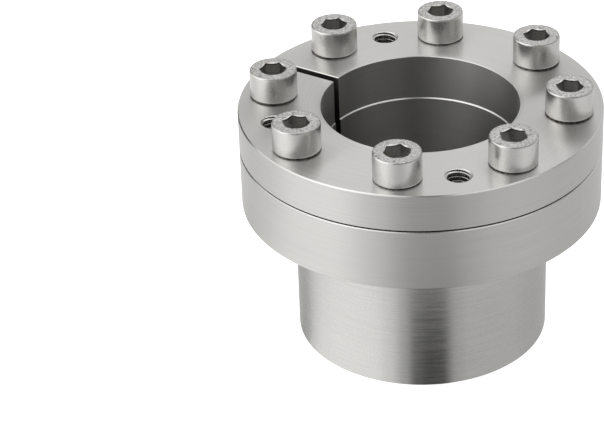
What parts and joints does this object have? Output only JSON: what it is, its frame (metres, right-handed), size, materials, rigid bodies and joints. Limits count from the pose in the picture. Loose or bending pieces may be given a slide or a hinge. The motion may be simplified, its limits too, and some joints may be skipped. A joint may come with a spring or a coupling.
{
  "type": "shaft locking assembly",
  "caption": "Keyless shaft locking assembly: a slotted, flanged taper ring that socket screws draw into a slit sleeve with a tapped collar.",
  "frame": {"origin": "centre of the sleeve's end face, on which it stands", "axes": "+Z along the bore towards the screw heads, -X through the slot of the inner ring"},
  "size_m": [0.078, 0.078, 0.0604],
  "materials": {
    "outer_ring_steel": "fine turned stainless steel",
    "inner_ring_steel": "fine turned stainless steel",
    "screw_steel": "cold formed and pickled stainless steel, finely grained"
  },
  "bodies": {
    "outer_ring": {"outer_ring": "outer_ring_steel"},
    "inner_ring": {"inner_ring": "inner_ring_steel"},
    "clamp_screw_1": {"clamp_screw_1": "screw_steel"},
    "clamp_screw_2": {"clamp_screw_2": "screw_steel"},
    "clamp_screw_3": {"clamp_screw_3": "screw_steel"},
    "clamp_screw_4": {"clamp_screw_4": "screw_steel"},
    "clamp_screw_5": {"clamp_screw_5": "screw_steel"},
    "clamp_screw_6": {"clamp_screw_6": "screw_steel"},
    "clamp_screw_7": {"clamp_screw_7": "screw_steel"},
    "clamp_screw_8": {"clamp_screw_8": "screw_steel"}
  },
  "joints": [
    {"name": "ring_draw", "type": "slide", "parent": "outer_ring", "child": "inner_ring", "axis": [0, 0, 1], "range_m": [-0.0001, 0.002]},
    {"name": "clamp_screw_1_turn", "type": "hinge", "parent": "inner_ring", "child": "clamp_screw_1", "pos_m": [-0.02933, -0.01215, 0.0542], "axis": [0, 0, 1], "range_deg": [-40, 722]},
    {"name": "clamp_screw_2_turn", "type": "hinge", "parent": "inner_ring", "child": "clamp_screw_2", "pos_m": [-0.01215, -0.02933, 0.0542], "axis": [0, 0, 1], "range_deg": [-40, 722]},
    {"name": "clamp_screw_3_turn", "type": "hinge", "parent": "inner_ring", "child": "clamp_screw_3", "pos_m": [0.01215, -0.02933, 0.0542], "axis": [0, 0, 1], "range_deg": [-40, 722]},
    {"name": "clamp_screw_4_turn", "type": "hinge", "parent": "inner_ring", "child": "clamp_screw_4", "pos_m": [0.02933, -0.01215, 0.0542], "axis": [0, 0, 1], "range_deg": [-40, 722]},
    {"name": "clamp_screw_5_turn", "type": "hinge", "parent": "inner_ring", "child": "clamp_screw_5", "pos_m": [0.02933, 0.01215, 0.0542], "axis": [0, 0, 1], "range_deg": [-40, 722]},
    {"name": "clamp_screw_6_turn", "type": "hinge", "parent": "inner_ring", "child": "clamp_screw_6", "pos_m": [0.01215, 0.02933, 0.0542], "axis": [0, 0, 1], "range_deg": [-40, 722]},
    {"name": "clamp_screw_7_turn", "type": "hinge", "parent": "inner_ring", "child": "clamp_screw_7", "pos_m": [-0.01215, 0.02933, 0.0542], "axis": [0, 0, 1], "range_deg": [-40, 722]},
    {"name": "clamp_screw_8_turn", "type": "hinge", "parent": "inner_ring", "child": "clamp_screw_8", "pos_m": [-0.02933, 0.01215, 0.0542], "axis": [0, 0, 1], "range_deg": [-40, 722]}
  ],
  "couplings": [
    {"joint": "clamp_screw_1_turn", "follows": "ring_draw", "rad_per_m": 6283.2},
    {"joint": "clamp_screw_2_turn", "follows": "ring_draw", "rad_per_m": 6283.2},
    {"joint": "clamp_screw_3_turn", "follows": "ring_draw", "rad_per_m": 6283.2},
    {"joint": "clamp_screw_4_turn", "follows": "ring_draw", "rad_per_m": 6283.2},
    {"joint": "clamp_screw_5_turn", "follows": "ring_draw", "rad_per_m": 6283.2},
    {"joint": "clamp_screw_6_turn", "follows": "ring_draw", "rad_per_m": 6283.2},
    {"joint": "clamp_screw_7_turn", "follows": "ring_draw", "rad_per_m": 6283.2},
    {"joint": "clamp_screw_8_turn", "follows": "ring_draw", "rad_per_m": 6283.2}
  ]
}
